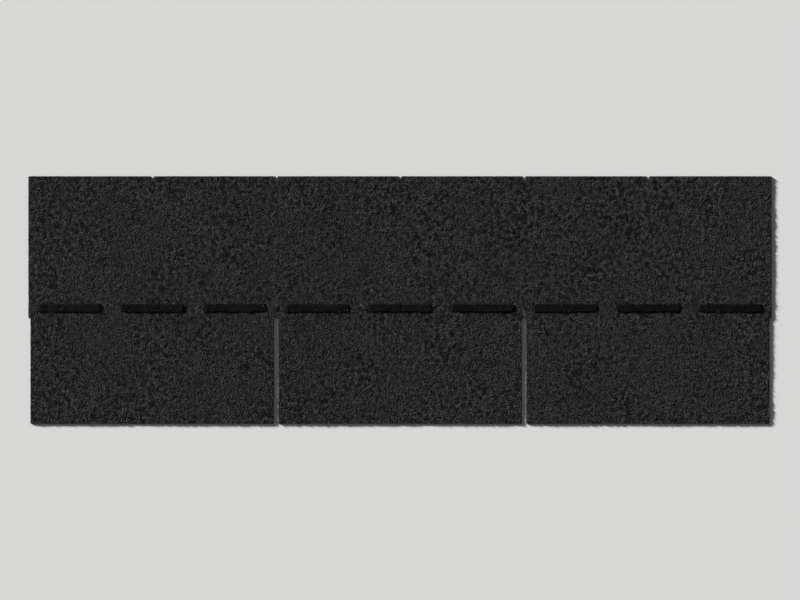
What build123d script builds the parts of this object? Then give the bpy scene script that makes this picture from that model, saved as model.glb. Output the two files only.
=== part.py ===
"""Three-tab asphalt strip shingle, as one leaves its bundle.

The sheet lies flat with its granule side up. X runs along the eave, Y runs up the
roof slope and Z points out of the roof. The origin is the middle of the underside.
All lengths are in millimetres.
"""

from build123d import *

import os

# Sheet
sheet_length = 914.4  # 36 in, along the eave
exposure = 127.0  # 5 in, the band that each course leaves open to the weather
head_lap = 177.8  # 7 in, the band that the courses above cover
sheet_thickness = 2.6  # mat, asphalt and granules
sheet_corner_radius = 1.5  # a worn cutting die rounds the two upper corners
top_edge_bevel = 0.4  # the granules break away along every cut edge

# Tabs and the cut-outs between them
tab_count = 3
cutout_width = 5.0
cutout_overrun = 3.0  # the cut-outs end this far above the exposure line
cutout_throat_radius = 1.6
tab_corner_radius = 1.2

# Alignment notches in the upper edge, two to a tab, for a half-tab offset
notch_width = 3.2
notch_depth = 4.8
notches_per_tab = 2

# Factory adhesive: a broken line of beads that bonds the tabs of the next course
bead_length = 80.0
bead_width = 12.7  # 1/2 in
bead_height = 0.9
bead_corner_radius = 4.0
bead_top_round = 0.6
beads_per_tab = 3
bead_line_rise = 9.0  # from the exposure line to the near side of the beads

# Release film: a thin tape pressed flush into the underside
film_width = 38.0
film_thickness = 0.1

sheet_height = exposure + head_lap
cutout_length = exposure + cutout_overrun
butt_y = -sheet_height / 2
head_y = sheet_height / 2
exposure_y = butt_y + exposure
bead_line_y = exposure_y + bead_line_rise + bead_width / 2
NEAR = 0.01  # how close two coordinates are when they are one edge


def tab_joint_positions():
    """X of every line between two tabs, and of both ends of the sheet."""
    return [sheet_length * (i / tab_count - 0.5) for i in range(tab_count + 1)]


def notch_positions():
    """X of the alignment notches, evenly spaced between the ends of the sheet."""
    spaces = tab_count * notches_per_tab
    return [sheet_length * (i / spaces - 0.5) for i in range(1, spaces)]


def cutout(x):
    """One cut-out centred on x. It runs off the butt edge, and at an end of the
    sheet half of it falls outside, which leaves the half cut-out there."""
    outline = Pos(x, butt_y + cutout_length / 2) * Rectangle(cutout_width, cutout_length)
    throat = outline.vertices().filter_by_position(Axis.Y, butt_y + cutout_length - NEAR, head_y)
    return fillet(throat, cutout_throat_radius)


def notch(x):
    """A round-bottomed nick that opens through the upper edge."""
    radius = notch_width / 2
    straight = notch_depth - radius
    slot = Pos(x, head_y - straight / 2) * Rectangle(notch_width, straight)
    return slot + Pos(x, head_y - straight) * Circle(radius)


def sheet_outline():
    """The die-cut outline of the whole strip, seen from above."""
    outline = Rectangle(sheet_length, sheet_height)
    upper_corners = outline.vertices().filter_by_position(Axis.Y, head_y - NEAR, head_y + NEAR)
    outline = fillet(upper_corners, sheet_corner_radius)
    for x in tab_joint_positions():
        outline -= cutout(x)
    tab_corners = outline.vertices().filter_by_position(Axis.Y, butt_y - NEAR, butt_y + NEAR)
    outline = fillet(tab_corners, tab_corner_radius)
    for x in notch_positions():
        outline -= notch(x)
    return outline


def film_strip():
    """The release film, as long as the sheet and level with its underside."""
    return extrude(Rectangle(sheet_length, film_width), film_thickness)


def shingle_sheet():
    """The one-piece sheet, with its bevelled upper rim and the shallow bed for the film."""
    sheet = extrude(sheet_outline(), sheet_thickness)
    upper_rim = sheet.faces().sort_by(Axis.Z)[-1].outer_wire().edges()
    sheet = chamfer(upper_rim, top_edge_bevel)
    return sheet - film_strip()


def adhesive_bead():
    """One bead on the plane of the sheet's upper face, flattened by its neighbour
    in the bundle, with its rim rounded over."""
    base = RectangleRounded(bead_length, bead_width, bead_corner_radius)
    bead = extrude(base, bead_height)
    return fillet(bead.faces().sort_by(Axis.Z)[-1].edges(), bead_top_round)


def seal_strip():
    """Every bead of the adhesive line. They share one node and don't touch."""
    count = tab_count * beads_per_tab
    pitch = sheet_length / count
    places = Pos(0, bead_line_y, sheet_thickness) * GridLocations(pitch, 0, count, 1)
    return Compound([place * adhesive_bead() for place in places])


os.makedirs("parts", exist_ok=True)
export_step(shingle_sheet(), "parts/shingle_sheet.step")
export_step(seal_strip(), "parts/seal_strip.step")
export_step(film_strip(), "parts/release_film.step")
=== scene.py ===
"""Dresses the three-tab asphalt shingle: its granules, cut edges, adhesive and back.

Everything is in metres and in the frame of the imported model: X along the eave, Y up
the slope, Z out of the roof, and the origin in the middle of the underside.
"""

import bpy
import numpy as np
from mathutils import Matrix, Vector
from mathutils.geometry import delaunay_2d_cdt


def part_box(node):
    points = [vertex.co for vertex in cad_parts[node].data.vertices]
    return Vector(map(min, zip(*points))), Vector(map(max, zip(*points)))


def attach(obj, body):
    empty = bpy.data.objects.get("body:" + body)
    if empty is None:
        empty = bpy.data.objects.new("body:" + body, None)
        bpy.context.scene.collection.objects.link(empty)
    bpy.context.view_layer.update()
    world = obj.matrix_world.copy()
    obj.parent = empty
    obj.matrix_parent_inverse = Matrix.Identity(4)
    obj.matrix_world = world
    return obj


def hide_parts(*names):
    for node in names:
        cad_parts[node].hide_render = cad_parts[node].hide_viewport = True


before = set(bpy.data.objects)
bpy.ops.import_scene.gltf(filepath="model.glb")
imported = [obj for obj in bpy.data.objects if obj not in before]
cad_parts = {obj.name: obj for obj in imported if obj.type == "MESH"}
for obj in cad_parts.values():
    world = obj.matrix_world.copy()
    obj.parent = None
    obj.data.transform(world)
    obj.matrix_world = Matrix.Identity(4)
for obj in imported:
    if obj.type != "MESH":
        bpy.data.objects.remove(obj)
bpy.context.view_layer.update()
SHEET_LOW, SHEET_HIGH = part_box("shingle_sheet")
BEADS_LOW, BEADS_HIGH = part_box("seal_strip")
FILM_LOW, FILM_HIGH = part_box("release_film")
THICKNESS = SHEET_HIGH.z - SHEET_LOW.z

MM = 0.001

# A relief is given as its size, the spacing of its bumps and the seed of its random field.

# Die-cut outline
TAB_COUNT = 3
CUTOUT_WIDTH = 5.0 * MM
CUTOUT_LENGTH = 130.0 * MM
CUTOUT_THROAT_RADIUS = 1.6 * MM
TAB_CORNER_RADIUS = 1.2 * MM
SHEET_CORNER_RADIUS = 1.5 * MM
NOTCH_WIDTH = 3.2 * MM
NOTCH_DEPTH = 4.8 * MM
NOTCHES_PER_TAB = 2
PAST_THE_SHEET = 20.0 * MM  # how far a cut runs on beyond the edge that it opens through

# Sheet: mat and asphalt, with a bed that the granules are pressed into
SHEET_STEP = 2.2 * MM  # spacing of the upper face's grid
SHEET_FINE_STEP = 0.85 * MM  # beside the cut-outs, notches and edges
SHEET_FINE_REACH = 3.5 * MM  # how far to each side of them the grid is fine
BACK_STEP = 7.0 * MM  # spacing of the corners within the back
BED_DEPTH = 0.72 * MM  # from the nominal top of the granules down to the asphalt bed
BED_RELIEF = (0.20 * MM, 2.1 * MM, 21)
BED_SWELL = (0.10 * MM, 70.0 * MM, 22)  # slow changes in thickness
BACK_RELIEF = (0.10 * MM, 11.0 * MM, 31)
FILM_BED_DEPTH = 0.14 * MM  # how far the film has pressed the underside in
RIM_DROP = 0.20 * MM  # from the bed down to its rim
RIM_BLEND = 5.0 * MM  # how far in from the edge the bed still leans with the worn rim

# Wear: how far the granules have broken back from the cut line
EDGE_WANDER = (0.35 * MM, 38.0 * MM, 11)
EDGE_CRUMBLE = (0.55 * MM, 2.6 * MM, 12)
ASPHALT_WEAR = 0.4  # share of it by which the asphalt under them is worn back too
SHEARING_WEAR = 0.5  # share of it at which granules are sheared off
PLACING_WEAR = 0.8  # share of it within which no granule has its middle

# Rings of the cut wall, from the asphalt down to the foot: how far in from the cut line,
# or how high above the underside, and then the relief of that
MAT_ROUGHNESS = 0.10 * MM
ASPHALT_HEIGHT = (0.48 * THICKNESS, 0.10 * MM, 2.3 * MM, 41)
UPPER_MAT_INSET = (0.14 * MM, MAT_ROUGHNESS, 1.9 * MM, 42)
UPPER_MAT_HEIGHT = (0.34 * THICKNESS, 0.08 * MM, 2.7 * MM, 43)
LOWER_MAT_INSET = (0.16 * MM, MAT_ROUGHNESS, 2.2 * MM, 44)
LOWER_MAT_HEIGHT = (0.18 * THICKNESS, 0.08 * MM, 3.1 * MM, 45)
FOOT_INSET = (0.10 * MM, 0.5 * MAT_ROUGHNESS, 2.9 * MM, 46)

# Granules
GRANULE_BANDS = ("lower_tabs", "upper_tabs", "lower_lap", "upper_lap")
GRANULES_PER_BAND = 24500
GRANULE_SEED = 100  # the first band's, and one more for each band after it
GRANULE_SHAKE = 0.5  # how far one may lie from its place in the pattern, in spacings
GRANULE_RADIUS = (0.72 * MM, 1.22 * MM)
GRANULE_HEIGHT = (0.80 * MM, 1.20 * MM)
GRANULE_UNEVENNESS = 0.24  # share by which each corner's reach differs
GRANULE_SKEW = 0.3  # most by which each corner's turn differs, in radians
GRANULE_TILT = 0.17  # typical lean of a granule's flat side, in radians
GRANULE_SETTLING = (-0.10 * MM, 0.10 * MM)  # of a granule's middle, above the bed
GRANULE_PROUD = 0.45 * MM  # the most that one stands above the nominal top
GRANULE_LOWEST = 0.40 * MM  # above the underside, so that none shows there
GRANULE_EDGE_MARGIN = 0.10 * MM
TILE_FILL = 0.8  # share of its tile on the map that a granule's hexagon spans

# Tones of the granules, from 0 to 1
CLUSTERS = (1.0, 3.6 * MM, 51)
CLUSTER_SHARE = 0.94  # how much of a granule's tone is its cluster's
CLUSTER_NEIGHBOURS = 5
CLUSTER_REACH = 4.4 * MM  # from a cluster to the neighbours that it stands out from
CLUSTER_CONTRAST = 0.5  # how far it is set off from them
ZONES = (0.60, 34.0 * MM, 53)  # zones of strong and of faint clusters
DRIFT = (0.05, 34.0 * MM, 52)  # slow changes of tone along the sheet
GRAIN_CONTRAST = 0.9  # how far the grain of a stone shifts its tone

# How the crushed stone has split. Each kind has six corners, with their turn in degrees
# and their reach and height as shares of the granule's own, and eight faces.
CHIP_CORNERS = 6
CHIP_KINDS = (
    (  # three-cornered above and below, turned by half a corner
        (0, 60, 120, 180, 240, 300),
        (1, 1, 1, 1, 1, 1),
        (1, -1, 1, -1, 1, -1),
        ((0, 2, 4), (1, 5, 3), (1, 2, 0), (1, 3, 2), (3, 4, 2), (3, 5, 4), (5, 0, 4), (5, 1, 0)),
    ),
    (  # a broad top that falls away at two corners, over a blunt point
        (0, 72, 144, 216, 288, 0),
        (1, 1, 1, 1, 1, 0.2),
        (1, 0.1, 0.8, 1, 0, -1),
        ((0, 1, 2), (0, 2, 3), (0, 3, 4), (1, 0, 5), (2, 1, 5), (3, 2, 5), (4, 3, 5), (0, 4, 5)),
    ),
    (  # four-cornered above, with a slope down at one end
        (45, 135, 225, 315, 0, 180),
        (1, 1, 1, 1, 1.25, 0.9),
        (1, 0.6, 1, 0.7, -1, -1),
        ((0, 1, 2), (0, 2, 3), (1, 0, 4), (1, 4, 5), (2, 1, 5), (3, 2, 5), (3, 5, 4), (0, 3, 4)),
    ),
)

# Adhesive beads
BEADS_PER_TAB = 3
BEAD_CORNER_RADIUS = 4.0 * MM
BEAD_STEP = 0.75 * MM
BEAD_BACK_STEP = 3 * BEAD_STEP
BEAD_SHOULDER = 1.3 * MM  # width of the rounded flank
BEAD_ROOT_DEPTH = 0.9 * MM  # how far the adhesive has run down between the granules
BEAD_FOOT = 0.2 * MM  # height of its upright foot, below that
BEAD_WANDER = (0.6 * MM, 11.0 * MM, 61)  # slow changes in its width
BEAD_CREEP = (0.8 * MM, 2.1 * MM, 62)  # how unevenly its edge has run between the granules
BEAD_SWELL = (0.34 * MM, 5.5 * MM, 63)  # waves along its top, pressed flat in the bundle
BEAD_PITS = (0.16 * MM, 1.7 * MM, 64)
STRAY_SHARE = 0.03  # share of the places on a bead that hold a loose granule
STRAY_DEPTH = 0.45 * MM  # from the top of the bead down to a loose granule's middle

# Release film
FILM_STEP = 3.0 * MM
FILM_MARGIN = 0.05 * MM
FILM_WRINKLES = (0.03 * MM, 9.0 * MM, 71)
WRINKLE_SLENDERNESS = 0.2  # width of a wrinkle as a share of its length, across the film

# Studio
LENS_MM = 85.0
FRAME_FILL = 0.93  # share of the picture's width that the sheet takes
FLOOR_SIZE = 400.0
FLOOR_DROP = 0.02 * MM  # below the sheet, so that their faces don't coincide
FLOOR_TONE = (0.78, 0.775, 0.765, 1.0)
KEY_DIRECTION = (-0.85, 0.52, 0.27)  # from the sheet towards the light
KEY_SPREAD = 0.15  # width of the light as the sheet sees it, in radians
KEY_STRENGTH = 9.1
# How bright the surroundings are, by the height that one looks up to, from 0 to 1
SURROUNDINGS = ((0.00, 0.68), (0.10, 0.49), (0.32, 0.23), (0.70, 0.06))

# Making the meshes
FIELD_PLACES = 1024  # bumps along each side of a random field, before it repeats
SLOPE_REACH = 0.05 * MM  # how far to each side of a point a distance's slope is measured
NEAR_ZERO = 1e-12  # least slope to divide by
SNAP_ROUNDS = 5  # how often a point is moved by what it is still off its outline
GRID_SAMPLES = 40001  # places at which the spacing of a grid's lines is added up
WITHIN_THE_RIM = 1  # the kind of triangulation that keeps to the inside of a rim
SAME_PLACE = 1e-9  # distance at which two corners count as one


def smooth_field(x, y, spacing, seed):
    """A smooth random field between -1 and 1, with bumps about one spacing apart. The
    seed also turns its grid, so that no two fields line up."""
    x, y = x * np.cos(seed) + y * np.sin(seed), y * np.cos(seed) - x * np.sin(seed)
    table = np.random.default_rng(seed).uniform(-1.0, 1.0, (FIELD_PLACES, FIELD_PLACES))
    column, row = np.floor(x / spacing).astype(int), np.floor(y / spacing).astype(int)
    across, up = x / spacing - column, y / spacing - row
    across = across * across * (3 - 2 * across)
    up = up * up * (3 - 2 * up)

    def corner(right, above):
        return table[(column + right) % FIELD_PLACES, (row + above) % FIELD_PLACES]

    lower = corner(0, 0) * (1 - across) + corner(1, 0) * across
    upper = corner(0, 1) * (1 - across) + corner(1, 1) * across
    return lower * (1 - up) + upper * up


def bumps(x, y, relief):
    """A relief at a place, up to its size above or below 0."""
    size, spacing, seed = relief
    return size * smooth_field(x, y, spacing, seed)


def dents(x, y, relief):
    """A relief at a place, from 0 to its size."""
    size, spacing, seed = relief
    return size * (0.5 + 0.5 * smooth_field(x, y, spacing, seed))


def box_gap(x, y, low, high, radius):
    """Distance from (x, y) to a round-cornered rectangle, negative inside it."""
    past_x = np.abs(x - (low[0] + high[0]) / 2) - (high[0] - low[0]) / 2 + radius
    past_y = np.abs(y - (low[1] + high[1]) / 2) - (high[1] - low[1]) / 2 + radius
    outside = np.hypot(np.maximum(past_x, 0), np.maximum(past_y, 0))
    return outside + np.minimum(np.maximum(past_x, past_y), 0) - radius


def rounded_max(a, b, radius):
    """The larger of two distances, with the corner between them rounded off."""
    near = np.maximum(radius - np.abs(a - b), 0) / radius
    return np.maximum(a, b) + near * near * radius / 4


def evenly_spaced(count):
    """X of count + 1 lines that divide the sheet's length, both ends included."""
    return np.linspace(SHEET_LOW.x, SHEET_HIGH.x, count + 1)


def sheet_gap(x, y):
    """Distance from (x, y) to the die-cut outline, negative on the sheet."""
    gap = box_gap(x, y, SHEET_LOW, SHEET_HIGH, SHEET_CORNER_RADIUS)
    for joint in evenly_spaced(TAB_COUNT):
        low = (joint - CUTOUT_WIDTH / 2, SHEET_LOW.y - PAST_THE_SHEET)
        high = (joint + CUTOUT_WIDTH / 2, SHEET_LOW.y + CUTOUT_LENGTH)
        cut = box_gap(x, y, low, high, CUTOUT_THROAT_RADIUS)
        gap = rounded_max(gap, -cut, TAB_CORNER_RADIUS)
    for middle in evenly_spaced(TAB_COUNT * NOTCHES_PER_TAB)[1:-1]:
        low = (middle - NOTCH_WIDTH / 2, SHEET_HIGH.y - NOTCH_DEPTH)
        high = (middle + NOTCH_WIDTH / 2, SHEET_HIGH.y + PAST_THE_SHEET)
        gap = np.maximum(gap, -box_gap(x, y, low, high, NOTCH_WIDTH / 2))
    return gap


def bead_gap(x, y):
    """Distance from (x, y) to the nearest adhesive bead, negative on it."""
    count = TAB_COUNT * BEADS_PER_TAB
    pitch = (SHEET_HIGH.x - SHEET_LOW.x) / count
    spare = pitch * count - (BEADS_HIGH.x - BEADS_LOW.x)
    half = (pitch - spare) / 2
    offset = (x - SHEET_LOW.x) % pitch - pitch / 2
    low, high = (-half, BEADS_LOW.y), (half, BEADS_HIGH.y)
    return box_gap(offset, y, low, high, BEAD_CORNER_RADIUS)


def film_gap(x, y):
    """Distance from (x, y) to the outline of the release film, negative on it."""
    low, high = FILM_LOW.xy, FILM_HIGH.xy
    margin = Vector((FILM_MARGIN, FILM_MARGIN))
    return box_gap(x, y, low + margin, high - margin, FILM_MARGIN)


def outward(gap, x, y):
    """Unit direction in which the distance grows fastest, at each point."""
    along = gap(x + SLOPE_REACH, y) - gap(x - SLOPE_REACH, y)
    up = gap(x, y + SLOPE_REACH) - gap(x, y - SLOPE_REACH)
    length = np.maximum(np.hypot(along, up), NEAR_ZERO)
    return along / length, up / length


def onto_outline(gap, x, y):
    """Moves points near an outline onto it."""
    for _ in range(SNAP_ROUNDS):
        distance = gap(x, y)
        along, up = outward(gap, x, y)
        x, y = x - along * distance, y - up * distance
    return x, y


def grid_lines(low, high, step, fine_step=None, places=()):
    """Coordinates from low to high, a step apart, or a fine step apart near places."""
    at = np.linspace(low, high, GRID_SAMPLES)
    near = np.zeros(len(at), dtype=bool)
    for place in places:
        near |= np.abs(at - place) < SHEET_FINE_REACH
    progress = np.cumsum(1 / np.where(near, fine_step or step, step)) * (at[1] - at[0])
    count = int(np.ceil(progress[-1]))
    return np.interp(np.linspace(progress[0], progress[-1], count + 1), progress, at)


def snapped_grid(gap, xs, ys):
    """A grid of squares cut to an outline: corner places, the squares as corner
    numbers, and the rim as pairs of corner numbers. Rim corners lie on the outline."""
    middle_x, middle_y = (xs[1:] + xs[:-1]) / 2, (ys[1:] + ys[:-1]) / 2
    kept_column, kept_row = np.nonzero(gap(*np.meshgrid(middle_x, middle_y, indexing="ij")) < 0)
    lines = len(ys)
    first = kept_column * lines + kept_row
    squares = np.stack([first, first + lines, first + lines + 1, first + 1], axis=1)
    used, squares = np.unique(squares, return_inverse=True)
    squares = squares.reshape(-1, 4)
    x, y = xs[used // lines], ys[used % lines]
    rim = rim_edges(squares, len(x))
    on_rim = np.unique(rim)
    x[on_rim], y[on_rim] = onto_outline(gap, x[on_rim], y[on_rim])
    return x, y, squares, rim


def rim_edges(faces, corner_count):
    """The directed edges that only one face has."""
    start, end = faces.ravel(), np.roll(faces, -1, axis=1).ravel()
    forward, backward = start * corner_count + end, end * corner_count + start
    alone = ~np.isin(forward, backward)
    return np.stack([start[alone], end[alone]], axis=1)


def back_triangles(x, y, rim, inner_x, inner_y):
    """Triangles that fill a rim, with corners inside it as well. The rim's corners
    come first, then the inner ones."""
    places = [Vector(p) for p in zip(np.append(x, inner_x), np.append(y, inner_y))]
    _, _, triangles, sources, _, _ = delaunay_2d_cdt(
        places, rim.tolist(), [], WITHIN_THE_RIM, SAME_PLACE
    )
    source = [numbers[0] for numbers in sources]
    return np.array([[source[i] for i in triangle] for triangle in triangles])


def mesh_piece(name, corners, faces, materials, face_material=None):
    """A mesh object from corner places and from lists of faces of one size each."""
    mesh = bpy.data.meshes.new(name)
    sizes = np.concatenate([np.full(len(block), block.shape[1]) for block in faces])
    loops = np.concatenate([block.ravel() for block in faces])
    mesh.vertices.add(len(corners))
    mesh.vertices.foreach_set("co", np.ascontiguousarray(corners, dtype=np.float32).ravel())
    mesh.loops.add(len(loops))
    mesh.loops.foreach_set("vertex_index", loops.astype(np.int32))
    mesh.polygons.add(len(sizes))
    mesh.polygons.foreach_set("loop_start", (np.cumsum(sizes) - sizes).astype(np.int32))
    mesh.polygons.foreach_set("use_smooth", np.zeros(len(sizes), dtype=bool))
    if face_material is not None:
        mesh.polygons.foreach_set("material_index", face_material.astype(np.int32))
    for material in materials:
        mesh.materials.append(material)
    mesh.update()
    mesh.validate()
    piece = bpy.data.objects.new(name, mesh)
    bpy.context.scene.collection.objects.link(piece)
    return piece


def edge_wear(x, y):
    """How far the granules have broken back from the cut line."""
    return dents(x, y, EDGE_WANDER) + dents(x, y, EDGE_CRUMBLE)


def worn_gap(x, y):
    """Distance to the line along which the granules are sheared or broken away."""
    return sheet_gap(x, y) + SHEARING_WEAR * edge_wear(x, y)


def bed_height(x, y):
    """Z of the asphalt bed between the granules."""
    return SHEET_HIGH.z - BED_DEPTH + bumps(x, y, BED_RELIEF) + bumps(x, y, BED_SWELL)


def back_height(x, y):
    """Z of the underside, which steps up where the film is pressed into it."""
    under_film = (y > FILM_LOW.y) & (y < FILM_HIGH.y)
    return SHEET_LOW.z + np.where(under_film, FILM_BED_DEPTH, dents(x, y, BACK_RELIEF))


def top_corners(gap, x, y, on_rim, top, rim_ring):
    """Corners of a slab's top, which leans in towards its rim."""
    rim_inset, rim_height = rim_ring
    lean = np.clip(1 + gap(x, y) / RIM_BLEND, 0, 1) ** 2
    along, up = outward(gap, x, y)
    inset = rim_inset(x, y) * lean
    z = top(x, y)
    z[on_rim] = rim_height(x[on_rim], y[on_rim])
    return np.stack([x - along * inset, y - up * inset, z], axis=1)


def ring_corners(gap, x, y, ring):
    """Corners of one ring of a slab's wall, under the rim corners at (x, y)."""
    ring_inset, ring_height = ring
    along, up = outward(gap, x, y)
    inset = ring_inset(x, y)
    return np.stack([x - along * inset, y - up * inset, ring_height(x, y)], axis=1)


def inner_places(gap, xs, ys, step):
    """Places about a step apart within an outline."""
    x, y = np.meshgrid(grid_lines(xs[0], xs[-1], step), grid_lines(ys[0], ys[-1], step))
    within = gap(x, y) < -step / 2
    return x[within], y[within]


def slab(name, gap, xs, ys, top, rings, back_step, back, materials):
    """A closed slab over an outline. top and back give Z at a place. Each ring of its
    side wall is a pair of functions of a place: how far in from the outline, and Z.
    Its materials are one for all, or one each for the top, the wall and the back."""
    x, y, squares, rim = snapped_grid(gap, xs, ys)
    on_rim = np.unique(rim)
    wall = [ring_corners(gap, x[on_rim], y[on_rim], ring) for ring in rings[1:]]
    inner_x, inner_y = inner_places(gap, xs, ys, back_step)
    inner = np.stack([inner_x, inner_y, back(inner_x, inner_y)], axis=1)
    corners = np.concatenate([top_corners(gap, x, y, on_rim, top, rings[0]), *wall, inner])

    ring_edges = np.searchsorted(on_rim, rim)
    starts = len(x) + len(on_rim) * np.arange(len(wall))
    levels = [rim, *(ring_edges + start for start in starts)]
    strips = [
        np.stack([above[:, 1], above[:, 0], below[:, 0], below[:, 1]], axis=1)
        for above, below in zip(levels, levels[1:])
    ]
    foot_x, foot_y, _ = wall[-1].T
    triangles = back_triangles(foot_x, foot_y, ring_edges, inner_x, inner_y)
    faces = [squares, np.concatenate(strips), triangles[:, ::-1] + starts[-1]]
    material_of_part = np.minimum(np.arange(len(faces)), len(materials) - 1)
    face_material = np.repeat(material_of_part, [len(block) for block in faces])
    return mesh_piece(name, corners, faces, materials, face_material)


def steady(value):
    """A ring's inset or height that is the same all round."""
    return lambda x, y: np.full(np.shape(x), value)


def rough(value, *relief):
    """A ring's inset or height that varies with a relief, all round."""
    return lambda x, y: value + bumps(x, y, relief)


def shingle_body(materials):
    """The mat and asphalt, with the bed for the granules and the cut edges."""
    rings = [
        (edge_wear, lambda x, y: bed_height(x, y) - RIM_DROP),
        (lambda x, y: ASPHALT_WEAR * edge_wear(x, y), rough(*ASPHALT_HEIGHT)),
        (rough(*UPPER_MAT_INSET), rough(*UPPER_MAT_HEIGHT)),
        (rough(*LOWER_MAT_INSET), rough(*LOWER_MAT_HEIGHT)),
        (rough(*FOOT_INSET), back_height),
    ]
    cuts_x = np.concatenate(
        [evenly_spaced(TAB_COUNT), evenly_spaced(TAB_COUNT * NOTCHES_PER_TAB)[1:-1]]
    )
    cuts_y = (SHEET_LOW.y, SHEET_LOW.y + CUTOUT_LENGTH, SHEET_HIGH.y - NOTCH_DEPTH, SHEET_HIGH.y)
    return slab(
        "sheet_body",
        sheet_gap,
        xs=grid_lines(SHEET_LOW.x, SHEET_HIGH.x, SHEET_STEP, SHEET_FINE_STEP, cuts_x),
        ys=grid_lines(SHEET_LOW.y, SHEET_HIGH.y, SHEET_STEP, SHEET_FINE_STEP, cuts_y),
        top=bed_height,
        rings=rings,
        back_step=BACK_STEP,
        back=back_height,
        materials=materials,
    )


def leaning_turns(rng, count):
    """Rotation matrices that lean each granule over a little, towards any side."""
    towards = rng.uniform(0, 2 * np.pi, count)
    lean = np.abs(rng.normal(0, GRANULE_TILT, count))
    along, up = np.cos(towards), np.sin(towards)
    level, dip = np.cos(lean), np.sin(lean)
    rows = [
        [level + up * up * (1 - level), -along * up * (1 - level), -along * dip],
        [-along * up * (1 - level), level + along * along * (1 - level), -up * dip],
        [along * dip, up * dip, level],
    ]
    return np.array(rows).transpose(2, 0, 1)


def granule_places(rng, low_y, high_y):
    """Middles of the granules of one band: staggered rows, well shaken."""
    width, height = SHEET_HIGH.x - SHEET_LOW.x, high_y - low_y
    pitch = np.sqrt(width * height / GRANULES_PER_BAND)
    columns, rows = int(width / pitch), int(height / pitch)
    row, column = np.divmod(np.arange(columns * rows), columns)
    stagger = 0.25 + 0.5 * (row % 2)
    x = SHEET_LOW.x + (column + stagger) * width / columns
    y = low_y + (row + 0.5) * height / rows
    x = x + rng.uniform(-GRANULE_SHAKE, GRANULE_SHAKE, len(x)) * pitch
    y = y + rng.uniform(-GRANULE_SHAKE, GRANULE_SHAKE, len(y)) * pitch
    on_sheet = sheet_gap(x, y) < -GRANULE_EDGE_MARGIN - PLACING_WEAR * edge_wear(x, y)
    kept = on_sheet & (~on_bead(x, y) | (rng.uniform(0, 1, len(x)) < STRAY_SHARE))
    return x[kept], y[kept]


def on_bead(x, y):
    """Whether a granule's place is on top of the adhesive."""
    return bead_gap(x, y) < -BEAD_SHOULDER


def cluster_field(x, y):
    """Light and dark clusters of granules about 0, strewn evenly but not equally strong."""
    turns = np.linspace(0, 2 * np.pi, CLUSTER_NEIGHBOURS, endpoint=False)
    offsets = CLUSTER_REACH * np.stack([np.cos(turns), np.sin(turns)], axis=1)
    around = [bumps(x + along, y + up, CLUSTERS) for along, up in offsets]
    own = bumps(x, y, CLUSTERS) - CLUSTER_CONTRAST * np.mean(around, axis=0)
    return own * (1 + bumps(x, y, ZONES))


def granule_tones(rng, x, y):
    """Each granule's tone from 0 to 1: its own, its cluster's and a slow drift."""
    own = rng.uniform(0, 1, len(x))
    cluster = 0.5 + 0.5 * cluster_field(x, y)
    drift = bumps(x, y, DRIFT)
    return np.clip((1 - CLUSTER_SHARE) * own + CLUSTER_SHARE * cluster + drift, 0, 1)


def stone_chips(rng, count):
    """Uneven chips about the origin, of every kind: their corners and their faces."""
    kind = rng.integers(0, len(CHIP_KINDS), count)
    turns, reaches, heights, faces = [np.array(part)[kind] for part in zip(*CHIP_KINDS)]
    least, most = 1 - GRANULE_UNEVENNESS, 1 + GRANULE_UNEVENNESS
    unevenness = rng.uniform(least, most, (count, CHIP_CORNERS, 2))
    angle = np.radians(turns) + rng.uniform(0, 2 * np.pi, (count, 1))
    angle = angle + rng.uniform(-GRANULE_SKEW, GRANULE_SKEW, (count, CHIP_CORNERS))
    reach = reaches * rng.uniform(*GRANULE_RADIUS, (count, 1)) * unevenness[:, :, 0]
    height = heights * rng.uniform(*GRANULE_HEIGHT, (count, 1)) / 2 * unevenness[:, :, 1]
    chips = np.stack([reach * np.cos(angle), reach * np.sin(angle), height], axis=2)
    first_corner = CHIP_CORNERS * np.arange(count)
    return chips @ leaning_turns(rng, count), faces + first_corner[:, None, None]


def granules(band, number, material):
    """The crushed stone of one band, half sunk in the bed."""
    rng = np.random.default_rng(GRANULE_SEED + number)
    edges = np.linspace(SHEET_LOW.y, SHEET_HIGH.y, len(GRANULE_BANDS) + 1)
    x, y = granule_places(rng, edges[number], edges[number + 1])
    count = len(x)
    stray = on_bead(x, y)
    ground = np.where(stray, BEADS_HIGH.z - STRAY_DEPTH, bed_height(x, y))
    z = ground + rng.uniform(*GRANULE_SETTLING, count)
    chips, faces = stone_chips(rng, count)
    corners = chips + np.stack([x, y, z], axis=1)[:, None, :]
    top = np.where(stray, BEADS_HIGH.z, SHEET_HIGH.z + GRANULE_PROUD)
    corners[:, :, 2] = np.clip(corners[:, :, 2], SHEET_LOW.z + GRANULE_LOWEST, top[:, None])
    corners = corners.reshape(-1, 3)
    sheared = worn_gap(corners[:, 0], corners[:, 1]) > 0
    corners[sheared, :2] = np.stack(onto_outline(worn_gap, *corners[sheared, :2].T), axis=1)
    faces = faces.reshape(-1, 3)
    piece = mesh_piece(f"granules_{band}", corners, [faces], [material])
    tones = np.repeat(granule_tones(rng, x, y), CHIP_CORNERS)
    attribute = piece.data.attributes.new("tone", "FLOAT", "POINT")
    attribute.data.foreach_set("value", tones.astype(np.float32))
    lay_in_tiles(piece, faces, count)
    return piece


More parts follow.
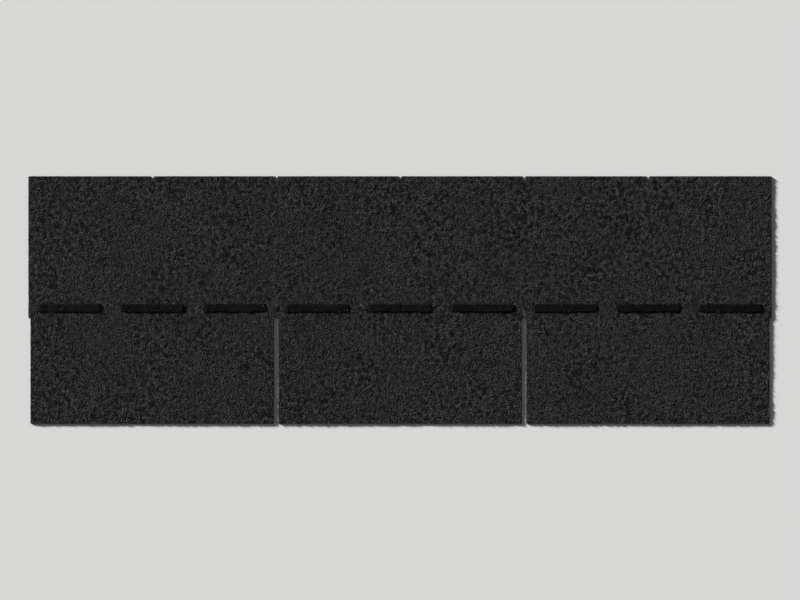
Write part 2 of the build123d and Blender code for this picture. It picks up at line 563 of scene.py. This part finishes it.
def lay_in_tiles(piece, faces, count):
    """A map for the piece, on which each granule has a tile of its own for all its faces."""
    side = int(np.ceil(np.sqrt(count)))
    granule, corner = np.divmod(faces.ravel(), CHIP_CORNERS)
    row, column = np.divmod(granule, side)
    turn = corner * 2 * np.pi / CHIP_CORNERS
    across = (column + 0.5 + TILE_FILL / 2 * np.cos(turn)) / side
    up = (row + 0.5 + TILE_FILL / 2 * np.sin(turn)) / side
    layer = piece.data.uv_layers.new(name="OFBake")
    layer.uv.foreach_set("vector", np.stack([across, up], axis=1).astype(np.float32).ravel())


def adhesive_beads(material):
    """The broken line of adhesive. Its edges have run in between the granules, and the
    waves along its top are pressed flat."""
    root = BEADS_LOW.z - BEAD_ROOT_DEPTH
    foot = root - BEAD_FOOT

    def flank(x, y):
        return dents(x, y, BEAD_WANDER) + dents(x, y, BEAD_CREEP)

    def top(x, y):
        depth = np.clip((-bead_gap(x, y) - flank(x, y)) / BEAD_SHOULDER, 0, 1)
        crown = np.sqrt(1 - (1 - depth) ** 2)
        waves = bumps(x, y, BEAD_SWELL) + bumps(x, y, BEAD_PITS)
        pressed = BEADS_HIGH.z + np.minimum(waves, 0)
        return root + (pressed - root) * crown

    piece = slab(
        "adhesive_beads",
        bead_gap,
        xs=grid_lines(BEADS_LOW.x, BEADS_HIGH.x, BEAD_STEP),
        ys=grid_lines(BEADS_LOW.y, BEADS_HIGH.y, BEAD_STEP),
        top=top,
        rings=[(flank, steady(root)), (flank, steady(foot))],
        back_step=BEAD_BACK_STEP,
        back=steady(foot),
        materials=[material],
    )
    piece.data.shade_smooth()
    return piece


def release_tape(material):
    """The thin film that lies flush in the underside."""

    def back(x, y):
        return FILM_LOW.z + dents(x, WRINKLE_SLENDERNESS * y, FILM_WRINKLES)

    top = steady(FILM_HIGH.z)
    return slab(
        "release_tape",
        film_gap,
        xs=grid_lines(FILM_LOW.x, FILM_HIGH.x, FILM_STEP),
        ys=grid_lines(FILM_LOW.y, FILM_HIGH.y, FILM_STEP),
        top=top,
        rings=[(steady(0.0), top), (steady(0.0), back)],
        back_step=FILM_STEP,
        back=back,
        materials=[material],
    )


def set_stops(ramp, stops):
    """Gives a colour ramp its stops: a position, and a grey or a colour."""
    while len(ramp.elements) < len(stops):
        ramp.elements.new(0.5)
    for element, (position, tone) in zip(ramp.elements, stops):
        element.position = position
        element.color = (*tone, 1) if isinstance(tone, tuple) else (tone, tone, tone, 1)


class Surface:
    """A procedural material under construction, around one Principled shader."""

    def __init__(self, name, **constants):
        self.material = bpy.data.materials.new(name)
        self.material.use_nodes = True
        self.tree = self.material.node_tree
        self.shader = self.tree.nodes["Principled BSDF"]
        for socket, value in constants.items():
            self.shader.inputs[socket.replace("_", " ")].default_value = value
        self.place = self.add("ShaderNodeTexCoord").outputs["Object"]

    def add(self, kind, settings=None, **inputs):
        """A node, with its settings and with each input set or linked."""
        node = self.tree.nodes.new(kind)
        for name, value in (settings or {}).items():
            setattr(node, name, value)
        for name, value in inputs.items():
            self.feed(node.inputs[name.replace("_", " ")], value)
        return node

    def feed(self, socket, value):
        """Links an output to a socket, or sets the socket to a plain value."""
        if isinstance(value, bpy.types.NodeSocket):
            self.tree.links.new(value, socket)
        else:
            socket.default_value = value

    def drive(self, socket, value):
        """Feeds one of the shader's own sockets."""
        self.feed(self.shader.inputs[socket], value)

    def scaled(self, x, y, z):
        """The place on the object, stretched by a factor along each axis."""
        mapping = self.add("ShaderNodeMapping", Vector=self.place, Scale=(x, y, z))
        return mapping.outputs["Vector"]

    def noise(self, size, detail, roughness=0.5, place=None):
        """A noise from 0 to 1 with patches about this size, in metres."""
        node = self.add(
            "ShaderNodeTexNoise",
            Vector=place or self.place,
            Scale=1 / size,
            Detail=detail,
            Roughness=roughness,
        )
        return node.outputs["Fac"]

    def cells(self, size, output):
        """Random cells about this size: a Color for each, or the Distance in them."""
        node = self.add("ShaderNodeTexVoronoi", Vector=self.place, Scale=1 / size)
        return node.outputs[output]

    def ramp(self, value, stops):
        """A colour or grey for each value, read between the stops."""
        node = self.add("ShaderNodeValToRGB", Fac=value)
        set_stops(node.color_ramp, stops)
        return node.outputs["Color"]

    def math(self, operation, a, b):
        """What an operation makes of two values."""
        node = self.add("ShaderNodeMath", {"operation": operation})
        self.feed(node.inputs[0], a)
        self.feed(node.inputs[1], b)
        return node.outputs[0]

    def mix(self, share, a, b):
        """The colour a, with this share of the colour b mixed in."""
        node = self.add("ShaderNodeMix", {"data_type": "RGBA"})
        # Its sockets for colours come after those for numbers and for vectors.
        colour_a, colour_b, colour_result = node.inputs[6], node.inputs[7], node.outputs[2]
        self.feed(node.inputs["Factor"], share)
        self.feed(colour_a, a)
        self.feed(colour_b, b)
        return colour_result

    def relief(self, height, depth):
        """Bump whose height from 0 to 1 stands for a depth in metres."""
        node = self.add("ShaderNodeBump", Height=height, Distance=depth, Strength=1.0)
        self.drive("Normal", node.outputs["Normal"])


def granule_stone():
    """Ceramic-coated crushed stone, charcoal with black and grey grains."""
    surface = Surface("granule_stone", Specular_IOR_Level=0.12)
    tone = surface.add("ShaderNodeAttribute", {"attribute_name": "tone"}).outputs["Fac"]
    mottle = surface.noise(0.45 * MM, detail=3.0, roughness=0.6)
    grain = surface.noise(0.16 * MM, detail=2.0, roughness=0.6)
    broken = surface.mix(0.6, mottle, grain)
    centred = surface.math("SUBTRACT", broken, 0.5)
    uneven = surface.math("MULTIPLY", centred, GRAIN_CONTRAST)
    stops = [(0.16, 0.007), (0.31, 0.022), (0.50, 0.0345), (0.72, 0.043), (1.00, 0.058)]
    surface.drive("Base Color", surface.ramp(surface.math("ADD", tone, uneven), stops))
    surface.drive("Roughness", surface.ramp(mottle, [(0.3, 0.58), (0.7, 0.85)]))
    surface.relief(broken, 0.09 * MM)
    return surface.material


def asphalt_bed():
    """Asphalt with fine stone dust and small grains, seen between the granules."""
    surface = Surface("asphalt_bed", Specular_IOR_Level=0.15)
    grain_size = 0.9 * MM
    grains = surface.cells(grain_size, "Color")
    patches = surface.noise(4.2 * MM, detail=3.0)
    shade = surface.mix(0.35, grains, patches)
    surface.drive("Base Color", surface.ramp(shade, [(0.2, 0.002), (0.55, 0.006), (0.9, 0.020)]))
    surface.drive("Roughness", surface.ramp(patches, [(0.3, 0.55), (0.7, 0.85)]))
    surface.relief(surface.cells(grain_size, "Distance"), 0.35 * MM)
    return surface.material


def cut_edge():
    """The sheared mat: black asphalt with pale glass fibres lying along the cut."""
    surface = Surface("cut_edge", Specular_IOR_Level=0.45)
    along_cut = surface.scaled(0.12, 0.12, 3.0)
    fibres = surface.noise(1.0 * MM, detail=4.0, roughness=0.65, place=along_cut)
    crumbs = surface.cells(0.8 * MM, "Color")
    shade = surface.mix(0.4, fibres, crumbs)
    stops = [(0.35, 0.004), (0.6, (0.012, 0.011, 0.010)), (0.78, (0.07, 0.066, 0.06))]
    surface.drive("Base Color", surface.ramp(shade, stops))
    surface.drive("Roughness", surface.ramp(fibres, [(0.3, 0.42), (0.7, 0.8)]))
    surface.relief(shade, 0.25 * MM)
    return surface.material


def sanded_back():
    """Asphalt back with its coat of fine parting sand, smeared along the length."""
    surface = Surface("sanded_back", Specular_IOR_Level=0.3)
    sand = surface.noise(0.55 * MM, detail=3.0, roughness=0.7)
    along_sheet = surface.scaled(0.25, 1.0, 1.0)
    smears = surface.noise(9.0 * MM, detail=4.0, roughness=0.55, place=along_sheet)
    shade = surface.mix(0.45, sand, smears)
    stops = [(0.3, 0.010), (0.5, (0.040, 0.038, 0.035)), (0.68, (0.13, 0.125, 0.115))]
    surface.drive("Base Color", surface.ramp(shade, stops))
    surface.drive("Roughness", surface.ramp(smears, [(0.3, 0.7), (0.7, 0.95)]))
    surface.relief(sand, 0.15 * MM)
    return surface.material


def seal_asphalt():
    """Polymer-modified asphalt: deep black with a dull gloss, dusted and dented."""
    surface = Surface("seal_asphalt", Specular_IOR_Level=0.04)
    dust = surface.noise(1.4 * MM, detail=4.0, roughness=0.7)
    along_bead = surface.scaled(0.35, 1.0, 1.0)
    smears = surface.noise(7.0 * MM, detail=3.0, place=along_bead)
    shade = surface.mix(0.5, dust, smears)
    stops = [
        (0.35, (0.0030, 0.0029, 0.0028)),
        (0.60, (0.0065, 0.0062, 0.006)),
        (0.80, (0.028, 0.027, 0.025)),
    ]
    surface.drive("Base Color", surface.ramp(shade, stops))
    surface.drive("Roughness", surface.ramp(shade, [(0.35, 0.50), (0.7, 0.90)]))
    hollows = surface.cells(1.9 * MM, "Distance")
    surface.relief(surface.mix(0.5, hollows, dust), 0.9 * MM)
    return surface.material


def release_plastic():
    """Thin clear film over black asphalt, with fine wrinkles across it."""
    surface = Surface(
        "release_plastic", Specular_IOR_Level=0.6, Coat_Weight=0.4, Coat_Roughness=0.12
    )
    across_film = surface.scaled(1.0, 0.22, 1.0)
    wrinkles = surface.noise(6.0 * MM, detail=4.0, roughness=0.6, place=across_film)
    haze = surface.noise(14.0 * MM, detail=2.0)
    stops = [(0.35, (0.055, 0.056, 0.060)), (0.65, (0.12, 0.121, 0.127))]
    surface.drive("Base Color", surface.ramp(surface.mix(0.5, haze, wrinkles), stops))
    surface.drive("Roughness", surface.ramp(wrinkles, [(0.3, 0.16), (0.7, 0.34)]))
    surface.relief(wrinkles, 0.25 * MM)
    return surface.material


def floor():
    """A plain pale floor, just under the sheet."""
    half = FLOOR_SIZE / 2
    z = SHEET_LOW.z - FLOOR_DROP
    corners = np.array([[-half, -half, z], [half, -half, z], [half, half, z], [-half, half, z]])
    surface = Surface("floor_paint", Base_Color=FLOOR_TONE, Roughness=0.9, Specular_IOR_Level=0.1)
    piece = mesh_piece("floor", corners, [np.array([[0, 1, 2, 3]])], [surface.material])


def key_light():
    """A broad light from far off and up the slope, which lights sheet and floor evenly."""
    data = bpy.data.lights.new("key_light", "SUN")
    data.angle = KEY_SPREAD
    data.energy = KEY_STRENGTH
    light = bpy.data.objects.new("key_light", data)
    light.rotation_euler = (-Vector(KEY_DIRECTION)).to_track_quat("-Z", "Y").to_euler()
    bpy.context.scene.collection.objects.link(light)


def surroundings():
    """Pale walls all round, as bright as the floor where they meet it, and a dark ceiling."""
    world = bpy.data.worlds.new("surroundings")
    world.use_nodes = True
    nodes, links = world.node_tree.nodes, world.node_tree.links
    place = nodes.new("ShaderNodeTexCoord")
    split = nodes.new("ShaderNodeSeparateXYZ")
    shade = nodes.new("ShaderNodeValToRGB")
    links.new(place.outputs["Generated"], split.inputs[0])
    links.new(split.outputs["Z"], shade.inputs["Fac"])
    links.new(shade.outputs["Color"], nodes["Background"].inputs["Color"])
    set_stops(shade.color_ramp, SURROUNDINGS)
    return world


def studio():
    """Camera straight above, a low key light and pale surroundings."""
    scene = bpy.context.scene
    data = bpy.data.cameras.new("camera")
    data.lens = LENS_MM
    camera = bpy.data.objects.new("camera", data)
    seen_width = (SHEET_HIGH.x - SHEET_LOW.x) / FRAME_FILL
    camera.location = (0, 0, SHEET_HIGH.z + seen_width * data.lens / data.sensor_width)
    scene.collection.objects.link(camera)
    scene.camera = camera
    key_light()
    scene.world = surroundings()
    scene.view_settings.view_transform = "Standard"


studio()
floor()

body = shingle_body([asphalt_bed(), cut_edge(), sanded_back()])
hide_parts("shingle_sheet")
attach(body, "root")

stone = granule_stone()
for number, band in enumerate(GRANULE_BANDS):
    piece = granules(band, number, stone)
    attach(piece, "root")

beads = adhesive_beads(seal_asphalt())
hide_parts("seal_strip")
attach(beads, "root")

tape = release_tape(release_plastic())
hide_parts("release_film")
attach(tape, "root")
